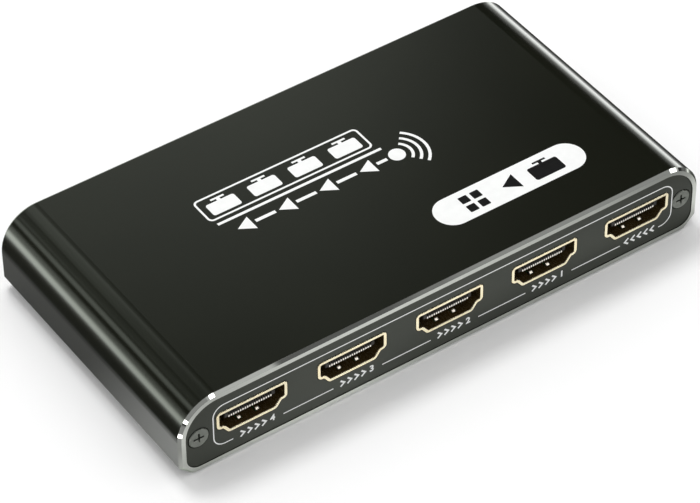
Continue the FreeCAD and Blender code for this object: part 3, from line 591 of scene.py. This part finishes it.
def light_finish(name, dark, light):
    """Tinted clear moulding of an indicator light that is off."""
    material, tree, shader = new_material(name, ior=1.49)
    drift = patches(tree, size=1.4, detail=2.0)
    link(tree, mix(tree, drift, dark, light), shader.inputs["Base Color"])
    fine = noise(tree, size=0.2)
    link(tree, ramp(tree, fine, *NOISE_SPAN, low=0.06, high=0.14), shader.inputs["Roughness"])
    shader.inputs["Transmission Weight"].default_value = 0.35
    bump(tree, shader, fine, depth=0.001)
    return material


def board_finish():
    """Green board: solder mask with the faint raised lines of its copper under it."""
    material, tree, shader = new_material("board_laminate")
    tracks = tree.nodes.new("ShaderNodeTexBrick")
    link(tree, place_in_mm(tree), tracks.inputs["Vector"])
    tracks.inputs["Scale"].default_value = TRACK_SCALE
    tracks.inputs["Mortar Size"].default_value = TRACK_WIDTH
    tracks.inputs["Mortar Smooth"].default_value = TRACK_BLUR
    mottle = patches(tree, size=4.0)
    mask = mix(tree, mottle, colour(0.004, 0.05, 0.014), colour(0.007, 0.075, 0.022))
    copper = mix(tree, mottle, colour(0.012, 0.1, 0.03), colour(0.016, 0.13, 0.04))
    link(tree, mix(tree, tracks.outputs["Fac"], copper, mask), shader.inputs["Base Color"])
    fine = noise(tree, size=0.15)
    link(tree, ramp(tree, fine, *NOISE_SPAN, low=0.26, high=0.38), shader.inputs["Roughness"])
    height = maths(tree, "MULTIPLY_ADD", fine, MASK_GRAIN_SHARE, tracks.outputs["Fac"])
    bump(tree, shader, height, depth=0.02, strength=0.5)
    return material


def ink_finish(name, dark, light, gloss_tint=None):
    return grained(
        name, dark, light,
        patch=1.5, roughness=(0.42, 0.55), grain=0.06, depth=0.001, gloss_tint=gloss_tint,
    )


def finishes():
    """The finish of each material slot of the record."""
    nickel = nickel_finish()
    return {
        "black_anodised_case": case_finish(),
        "dark_panel": panel_finish(),
        "dark_screw": screw_finish(),
        "board_laminate": board_finish(),
        "gold_shell": gold_finish(),
        "gold_contact": contact_finish(),
        "black_moulding": moulding_finish(),
        "nickel_contact": nickel,
        "tinned_lead": tin_finish(),
        "red_light": light_finish("red_light", colour(0.32, 0.006, 0.005), colour(0.42, 0.012, 0.01)),
        "green_light": light_finish("green_light", colour(0.01, 0.22, 0.02), colour(0.02, 0.3, 0.035)),
        "chip_resin": resin_finish(),
        "thermal_rubber": rubber_finish(),
        "plain_aluminium": aluminium_finish(),
        "crystal_can": nickel,
        "ferrite": ferrite_finish(),
        "ceramic_chip": ceramic_finish(),
    }


def dress_nodes():
    """Gives each CAD node the finish of its slot in the record."""
    made = finishes()
    for part in frame["record"]["subparts"]:
        mesh = frame["nodes"][part["node"]].data
        mesh.materials.clear()
        mesh.materials.append(made[part["material_slot"]])


# Flat shapes for the printing, as lists of (u, v) corners

def arc(u, v, radius, start, end):
    """Points along an arc between two angles in degrees."""
    start, end = math.radians(start), math.radians(end)
    steps = max(2, math.ceil(abs(end - start) / ARC_STEP))
    angles = [start + (end - start) * i / steps for i in range(steps + 1)]
    return [(u + radius * math.cos(angle), v + radius * math.sin(angle)) for angle in angles]


def disc(u, v, radius):
    return arc(u, v, radius, 0, 360)[:-1]


def block(left, bottom, right, top, radius=0.0):
    """Rectangle, with round corners if it has a radius."""
    if not radius:
        return [(left, bottom), (right, bottom), (right, top), (left, top)]
    return (
        arc(right - radius, bottom + radius, radius, -90, 0)
        + arc(right - radius, top - radius, radius, 0, 90)
        + arc(left + radius, top - radius, radius, 90, 180)
        + arc(left + radius, bottom + radius, radius, 180, 270)
    )


def block_about(u, v, width, height, radius=0.0):
    """Rectangle about its middle."""
    return block(u - width / 2, v - height / 2, u + width / 2, v + height / 2, radius)


def direction(start, end):
    """Direction of length one between two points."""
    along_u, along_v = end[0] - start[0], end[1] - start[1]
    length = math.hypot(along_u, along_v)
    return along_u / length, along_v / length


def strokes(path, width, closed=False):
    """Line of a width along a path, as one four-cornered piece for each run, mitred where they meet."""
    count = len(path)
    sides = []
    for i, (u, v) in enumerate(path):
        back = path[i - 1] if i or closed else None
        ahead = path[(i + 1) % count] if i + 1 < count or closed else None
        first = direction(back, (u, v)) if back else direction((u, v), ahead)
        second = direction((u, v), ahead) if ahead else first
        share = width / 2 / (1 + first[0] * second[0] + first[1] * second[1])
        out_u, out_v = -share * (first[1] + second[1]), share * (first[0] + second[0])
        sides.append(((u + out_u, v + out_v), (u - out_u, v - out_v)))
    runs = []
    for i in range(count if closed else count - 1):
        (near_left, near_right), (far_left, far_right) = sides[i], sides[(i + 1) % count]
        runs.append([near_right, far_right, far_left, near_left])
    return runs


def chevrons(u, places, way):
    """Row of open arrow heads that point along u by way, 1 or -1."""
    reach = way * CHEVRON_REACH
    low, high = MARK_Z - MARK_HEIGHT / 2, MARK_Z + MARK_HEIGHT / 2
    shapes = []
    for place in places:
        middle = u + place * CHEVRON_STEP
        path = [(middle - reach, high), (middle + reach, MARK_Z), (middle - reach, low)]
        shapes += strokes(path, MARK_STROKE)
    return shapes


def power_mark(u):
    """Ring that is open at its top, with an upright stroke in the opening."""
    ring = arc(u, MARK_Z, POWER_MARK_RADIUS, 90 + POWER_MARK_GAP, 450 - POWER_MARK_GAP)
    half = MARK_STROKE / 2
    upright = block(u - half, MARK_Z + half, u + half, MARK_Z + POWER_MARK_RADIUS + MARK_STROKE)
    return strokes(ring, MARK_STROKE) + [upright]


def screen(u, v, width, height):
    """Screen on its stem and foot, from the screen's middle."""
    low = v - height / 2
    return [
        block_about(u, v, width, height, SCREEN_RADIUS),
        block_about(u, low - STEM_HEIGHT / 2, STEM_WIDTH, STEM_HEIGHT),
        block_about(u, low - STEM_HEIGHT - FOOT_HEIGHT / 2, FOOT_WIDTH, FOOT_HEIGHT),
    ]


def arrow_head(u, v, height):
    """Solid triangle that points along u."""
    reach = height * ARROW_REACH
    return [(u - reach, v - height / 2), (u + reach, v), (u - reach, v + height / 2)]


# Solid ink from flat shapes

class Face:
    """A face of the case that is printed on: a point on it, the ways of u and v, and the way out."""

    def __init__(self, place, along_u, along_v):
        self.place = Vector(place)
        self.along_u = Vector(along_u)
        self.along_v = Vector(along_v)
        self.out = self.along_u.cross(self.along_v)

    def point(self, u, v, rise):
        """Point in metres from millimetres on the face."""
        return (self.place + self.along_u * u + self.along_v * v + self.out * rise) * MM


def add_ink(name, mesh, material):
    """Adds a mesh to the scene as one piece of ink, which rides on the part's one body."""
    mesh.materials.clear()
    mesh.materials.append(material)
    piece = bpy.data.objects.new(name, mesh)
    bpy.context.scene.collection.objects.link(piece)
    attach(piece, "root")


def print_on(name, face, shapes, material, rise=INK_RISE):
    """One piece of ink from flat shapes on a face of the case."""
    ink = bmesh.new()
    for shape in shapes:
        upper = [ink.verts.new(face.point(u, v, rise)) for u, v in shape]
        lower = [ink.verts.new(face.point(u, v, -INK_ROOT)) for u, v in shape]
        ink.faces.new(upper)
        ink.faces.new(lower[::-1])
        for i in range(len(shape)):
            after = (i + 1) % len(shape)
            ink.faces.new((lower[i], lower[after], upper[after], upper[i]))
    bmesh.ops.recalc_face_normals(ink, faces=ink.faces)
    mesh = bpy.data.meshes.new(name)
    ink.to_mesh(mesh)
    ink.free()
    add_ink(name, mesh, material)


def figure_on(name, face, text, u, material):
    """One printed figure on a face, in the row of the panel's marks."""
    curve = bpy.data.curves.new(name, "FONT")
    curve.body = text
    curve.size = FIGURE_SIZE * MM
    curve.align_x = "CENTER"
    curve.align_y = "CENTER"
    curve.extrude = (INK_RISE + INK_ROOT) / 2 * MM
    curve.offset = FIGURE_BOLDER * MM
    source = bpy.data.objects.new(name + "_source", curve)
    bpy.context.scene.collection.objects.link(source)
    bpy.context.view_layer.update()
    mesh = bpy.data.meshes.new_from_object(source)
    bpy.data.objects.remove(source)
    middle = (INK_RISE - INK_ROOT) / 2
    for vertex in mesh.vertices:
        across, up, rise = vertex.co / MM
        vertex.co = face.point(u + across, MARK_Z + up, middle + rise)
    add_ink(name, mesh, material)


# Printing on the panels

def panel_line(gaps):
    """Line round the sockets, open at the gaps for the marks."""
    left, right = PANEL_LINE_LEFT, PANEL_LINE_RIGHT
    bottom, top, radius = PANEL_LINE_BOTTOM, PANEL_LINE_TOP, PANEL_LINE_RADIUS
    path = (
        [(gaps[0][0], bottom)]
        + arc(left + radius, bottom + radius, radius, 270, 180)
        + arc(left + radius, top - radius, radius, 180, 90)
        + arc(right - radius, top - radius, radius, 90, 0)
        + arc(right - radius, bottom + radius, radius, 0, -90)
        + [(gaps[-1][1], bottom)]
    )
    lines = strokes(path, PANEL_LINE_WIDTH)
    for before, after in zip(gaps, gaps[1:]):
        lines += strokes([(before[1], bottom), (after[0], bottom)], PANEL_LINE_WIDTH)
    return lines


def port_marks(white):
    """Line round the sockets, and a mark under each: chevrons with a figure on the outputs."""
    face = Face((0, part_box("port_panel")[0].y / MM, 0), (1, 0, 0), (0, 0, 1))
    gaps = []
    marks = []
    for number in range(OUTPUT_COUNT, 0, -1):
        u = middle_of(f"hdmi_shell_output_{number}").x + MARK_SHIFT
        gaps.append((u - MARK_GAP / 2, u + MARK_GAP / 2))
        marks += chevrons(u, OUTPUT_CHEVRONS, 1)
        place = u + FIGURE_PLACE * CHEVRON_STEP
        figure_on(f"figure_output_{number}", face, str(number), place, white)
    u = middle_of("hdmi_shell_input").x + INPUT_MARK_SHIFT
    gaps.append((u - INPUT_MARK_GAP / 2, u + INPUT_MARK_GAP / 2))
    marks += chevrons(u, INPUT_CHEVRONS, -1)
    print_on("panel_line", face, panel_line(gaps), white)
    print_on("panel_marks", face, marks, white)


def light_marks(white):
    """Mark under each light of the far panel: power, chevrons for the input, figures for the outputs."""
    face = Face((0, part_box("far_panel")[1].y / MM, 0), (-1, 0, 0), (0, 0, 1))
    marks = power_mark(-middle_of("light_power").x)
    marks += chevrons(-middle_of("light_input").x, LIGHT_CHEVRONS, 1)
    for number in range(1, OUTPUT_COUNT + 1):
        place = -middle_of(f"light_output_{number}").x
        figure_on(f"figure_light_{number}", face, str(number), place, white)
    print_on("light_marks", face, marks, white)


# Printing on the top

def top_face():
    return Face((0, 0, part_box("extruded_case")[1].z / MM), (-1, 0, 0), (0, -1, 0))


def screens_in_frame(middles):
    """Frame with a screen at each of these places."""
    corners = block(FRAME_LEFT, FRAME_BOTTOM, FRAME_RIGHT, FRAME_TOP, FRAME_RADIUS)
    shapes = strokes(corners, FRAME_LINE, closed=True)
    v = (FRAME_BOTTOM + FRAME_TOP) / 2 + SCREEN_LIFT
    for u in middles:
        shapes += screen(u, v, SCREEN_WIDTH, SCREEN_HEIGHT)
    return shapes


def row_of_arrows(middles):
    """Arrow head at each of these places, with a line that leads to it from the source."""
    v = (ROW_BOTTOM + ROW_TOP) / 2
    height = ROW_TOP - ROW_BOTTOM
    shapes = []
    start = SOURCE_U + SOURCE_RADIUS + WAVE_WIDTH
    for u in middles:
        shapes.append(arrow_head(u, v, height))
        room = height * ARROW_REACH + ROW_LINE
        shapes.append(block(start, v - ROW_LINE / 2, u - room, v + ROW_LINE / 2))
        start = u + room
    return shapes


def source_with_waves():
    """Disc with arcs that spread from it."""
    shapes = [disc(SOURCE_U, SOURCE_V, SOURCE_RADIUS)]
    for i in range(WAVE_COUNT):
        radius = WAVE_FIRST + i * WAVE_STEP
        path = arc(SOURCE_U, SOURCE_V, radius, 180 - WAVE_SPREAD, 180 + WAVE_SPREAD)
        shapes += strokes(path, WAVE_WIDTH)
    return shapes


def top_diagram(white):
    """One source that feeds four screens, as a plain diagram."""
    step = (FRAME_RIGHT - FRAME_LEFT) / OUTPUT_COUNT
    middles = [FRAME_LEFT + (i + 0.5) * step for i in range(OUTPUT_COUNT)]
    bar = block(BAR_LEFT, BAR_V - BAR_THICKNESS / 2, BAR_RIGHT, BAR_V + BAR_THICKNESS / 2)
    shapes = screens_in_frame(middles) + [bar] + row_of_arrows(middles) + source_with_waves()
    print_on("top_diagram", top_face(), shapes, white)


def top_label(white, black):
    """White label with three black marks: one screen, an arrow head and four squares."""
    face = top_face()
    plate = block_about(LABEL_U, LABEL_V, LABEL_LENGTH, LABEL_DEPTH, LABEL_DEPTH / 2)
    print_on("top_label", face, [plate], white)
    screen_height = LABEL_MARK - 2 * SCREEN_LIFT
    shapes = screen(LABEL_U - LABEL_STEP, LABEL_V + SCREEN_LIFT, LABEL_SCREEN_WIDTH, screen_height)
    shapes.append(arrow_head(LABEL_U, LABEL_V, LABEL_ARROW_HEIGHT))
    offset = (LABEL_MARK - LABEL_SQUARE) / 2
    for across in (-offset, offset):
        for up in (-offset, offset):
            u, v = LABEL_U + LABEL_STEP + across, LABEL_V + up
            shapes.append(block_about(u, v, LABEL_SQUARE, LABEL_SQUARE, LABEL_SQUARE_RADIUS))
    print_on("top_label_marks", face, shapes, black, LABEL_RISE)


# Studio

def light_path(tree, *names):
    """1 for the kinds of ray that are named."""
    node = tree.nodes.new("ShaderNodeLightPath")
    return joined(tree, "MAXIMUM", [node.outputs[name] for name in names])


def room_lights(tree, azimuth, height):
    """Brightness of each light of the room in a direction."""
    lights = []
    for (left, right), (low, high), soft, strength in ROOM_LIGHTS:
        upright = window(tree, height, low, high, soft)
        level = window(tree, azimuth, left, right, soft)
        lights.append(product(tree, upright, level, strength))
    return lights


def build_world():
    """White to the camera, an even dome to plain surfaces and a room of soft lights to glossy ones."""
    world = bpy.data.worlds.new("studio")
    bpy.context.scene.world = world
    world.use_nodes = True
    world.cycles.sampling_method = "NONE"
    tree = world.node_tree
    background = tree.nodes["Background"]
    x, y, z = axes_of(tree, tree.nodes.new("ShaderNodeTexCoord").outputs["Generated"])
    height = maths(tree, "DEGREES", maths(tree, "ARCSINE", z))
    azimuth = maths(tree, "DEGREES", maths(tree, "ARCTAN2", x, y))
    room = total(tree, ROOM_GLOW, *room_lights(tree, azimuth, height))
    for_gloss = product(tree, room, light_path(tree, "Is Glossy Ray", "Is Transmission Ray"))
    for_plain = product(tree, light_path(tree, "Is Diffuse Ray"), DOME)
    strength = total(tree, for_gloss, for_plain, light_path(tree, "Is Camera Ray"))
    link(tree, strength, background.inputs["Strength"])
    background.inputs["Color"].default_value = (1, 1, 1, 1)


def gloss_beside(tree, across, along):
    """Brightness for gloss of the floor beside the case: most beside the near end of its left side."""
    return product(
        tree,
        ramp(tree, maths(tree, "ABSOLUTE", across), *SIDE_LIMIT_ACROSS, 1.0, 0.0),
        ramp(tree, along, *SIDE_FADE_ALONG, SIDE_GLOSS, SIDE_GLOSS_REAR),
        ramp(tree, across, *SIDE_FADE_ACROSS, 1.0, SIDE_RIGHT_SHARE),
        ramp(tree, along, *FRONT_LINE_ALONG),
    )


def gloss_in_front(tree, across, along):
    """Brightness for gloss of the floor in front of the case."""
    away = product(
        tree,
        ramp(tree, across, *FRONT_RISE_ACROSS, FRONT_LEFT_SHARE, 1.0),
        ramp(tree, across, *FRONT_FALL_ACROSS, FRONT_GLOSS, FRONT_GLOSS_RIGHT),
    )
    hump = product(
        tree,
        ramp(tree, across, *HUMP_RISE_ACROSS),
        ramp(tree, across, *HUMP_FALL_ACROSS, HUMP_GLOSS, 0.0),
        ramp(tree, along, *HUMP_LIMIT_ALONG),
    )
    band = product(
        tree,
        window(tree, along, *BAND_ALONG, BAND_BLUR),
        ramp(tree, across, *BAND_RISE_ACROSS, 0.0, BAND_GLOSS),
    )
    close_end = ramp(tree, across, *CLOSE_END_ACROSS, CLOSE_END_SHARE, 1.0)
    close = product(tree, total(tree, hump, band, CLOSE_GLOSS), close_end)
    is_close = ramp(tree, along, *CLOSE_LIMIT_ALONG)
    front = maths(tree, "MULTIPLY_ADD", is_close, maths(tree, "SUBTRACT", close, away), away)
    return product(
        tree,
        front,
        ramp(tree, along, *FRONT_LINE_ALONG, 1.0, 0.0),
        ramp(tree, along, *FRONT_LIMIT_ALONG, FRONT_LIMIT_SHARE, 1.0),
        ramp(tree, across, *FRONT_END_ACROSS, 1.0, FRONT_END_SHARE),
    )


def far_glow(tree, across, along):
    """Brightness of the floor far behind the case and beside it, and one small bright spot."""
    case_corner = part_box("extruded_case")[1] / MM
    beyond_side = maths(tree, "SUBTRACT", maths(tree, "ABSOLUTE", across), case_corner.x)
    beyond_rear = maths(tree, "SUBTRACT", along, case_corner.y)
    slanted = maths(tree, "MULTIPLY_ADD", across, FAR_SLANT, along)
    behind = product(
        tree,
        ramp(tree, maths(tree, "MAXIMUM", beyond_side, beyond_rear), *FAR_RISE, 0.0, FAR_GLOW),
        ramp(tree, slanted, *FAR_SLANT_RISE, *FAR_SLANT_SHARES),
        ramp(tree, along, *BEHIND_RISE_ALONG),
    )
    away = tree.nodes.new("ShaderNodeVectorMath")
    away.operation = "DISTANCE"
    link(tree, place_in_mm(tree), away.inputs[0])
    away.inputs[1].default_value = GLINT_PLACE
    spot = ramp(tree, away.outputs["Value"], *GLINT_REACH, GLINT_GLOW, 0.0)
    return total(tree, behind, spot)


def floor_colour(tree, across, along, is_gloss):
    """Pale for everything but gloss, which sees the floor with painted shades of grey that change with
    place.
    """
    pale = colour(FLOOR_ALBEDO, FLOOR_ALBEDO, FLOOR_ALBEDO)
    near = maths(
        tree, "MAXIMUM", gloss_beside(tree, across, along), gloss_in_front(tree, across, along)
    )
    share = maths(tree, "DIVIDE", total(tree, near, GLOSS_ELSEWHERE), GLOSS_MOST)
    for_gloss = mix(tree, share, colour(0, 0, 0), [GLOSS_MOST * part for part in pale])
    return mix(tree, is_gloss, pale, for_gloss)


def floor_glow(tree, across, along, is_gloss):
    """A little for the camera, so that the open floor clips to white, the far floor for gloss, and the
    patch under the case, which lights its underside."""
    for_camera = product(tree, light_path(tree, "Is Camera Ray"), FLOOR_GLOW)
    for_gloss = product(tree, far_glow(tree, across, along), is_gloss)
    under = product(
        tree,
        window(tree, across, -UNDERSIDE_ACROSS, UNDERSIDE_ACROSS, UNDERSIDE_BLUR),
        window(tree, along, -UNDERSIDE_ALONG, UNDERSIDE_ALONG, UNDERSIDE_BLUR),
        light_path(tree, "Is Diffuse Ray", "Is Glossy Ray"),
        UNDERSIDE_GLOW,
    )
    return total(tree, for_camera, for_gloss, under)


def build_floor():
    """Pale floor that clips to white in the open and keeps the object's shadow. A view from underneath
    looks through it."""
    mesh = bpy.data.meshes.new("floor")
    side, height = FLOOR_HALF_SIDE * MM, -FLOOR_DROP * MM
    corners = [(across * side, along * side, height) for across, along in block(-1, -1, 1, 1)]
    mesh.from_pydata(corners, [], [(0, 1, 2, 3)])
    floor = bpy.data.objects.new("floor", mesh)
    bpy.context.scene.collection.objects.link(floor)
    material, tree, shader = new_material("pale_floor")
    across, along = axes_of(tree, place_in_mm(tree))[:2]
    is_gloss = light_path(tree, "Is Glossy Ray", "Is Transmission Ray")
    link(tree, floor_colour(tree, across, along, is_gloss), shader.inputs["Base Color"])
    link(tree, floor_glow(tree, across, along, is_gloss), shader.inputs["Emission Strength"])
    backfacing = tree.nodes.new("ShaderNodeNewGeometry").outputs["Backfacing"]
    from_below = product(tree, backfacing, light_path(tree, "Is Camera Ray"))
    link(tree, maths(tree, "SUBTRACT", 1.0, from_below), shader.inputs["Alpha"])
    shader.inputs["Roughness"].default_value = FLOOR_ROUGHNESS
    shader.inputs["Specular IOR Level"].default_value = FLOOR_GLOSS_LEVEL
    shader.inputs["Emission Color"].default_value = (1, 1, 1, 1)
    mesh.materials.append(material)


def build_lamp():
    """Large soft lamp, high behind the object, that gloss doesn't see."""
    lamp = bpy.data.lights.new("behind", "AREA")
    lamp.shape = "DISK"
    lamp.size = LAMP_SIZE * MM
    lamp.energy = LAMP_POWER
    place = bpy.data.objects.new("behind", lamp)
    reach = LAMP_REACH * MM
    place.location = (0.0, reach * math.cos(LAMP_HEIGHT), reach * math.sin(LAMP_HEIGHT))
    place.rotation_euler = (LAMP_HEIGHT - math.pi / 2, 0.0, 0.0)
    place.visible_glossy = False
    bpy.context.scene.collection.objects.link(place)


def build_camera():
    camera = bpy.data.cameras.new("photo_camera")
    camera.sensor_width = SENSOR_WIDTH
    camera.lens = CAMERA_LENS
    camera.clip_start = CAMERA_NEAREST * MM
    camera.clip_end = CAMERA_FARTHEST * MM
    place = bpy.data.objects.new("photo_camera", camera)
    place.location = [part * MM for part in CAMERA_PLACE]
    place.rotation_euler = Euler([math.radians(angle) for angle in CAMERA_TURN])
    bpy.context.scene.collection.objects.link(place)
    bpy.context.scene.camera = place


clear_scene()
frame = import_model()
bpy.context.scene.view_settings.view_transform = "Standard"
build_camera()
build_world()
build_floor()
build_lamp()
dress_nodes()
white_ink = ink_finish("white_ink", colour(0.87, 0.88, 0.87), colour(0.9, 0.91, 0.9))
black_ink = ink_finish(
    "black_ink", colour(0.002, 0.002, 0.002), colour(0.004, 0.004, 0.004), colour(0.15, 0.15, 0.15)
)
port_marks(white_ink)
light_marks(white_ink)
top_diagram(white_ink)
top_label(white_ink, black_ink)
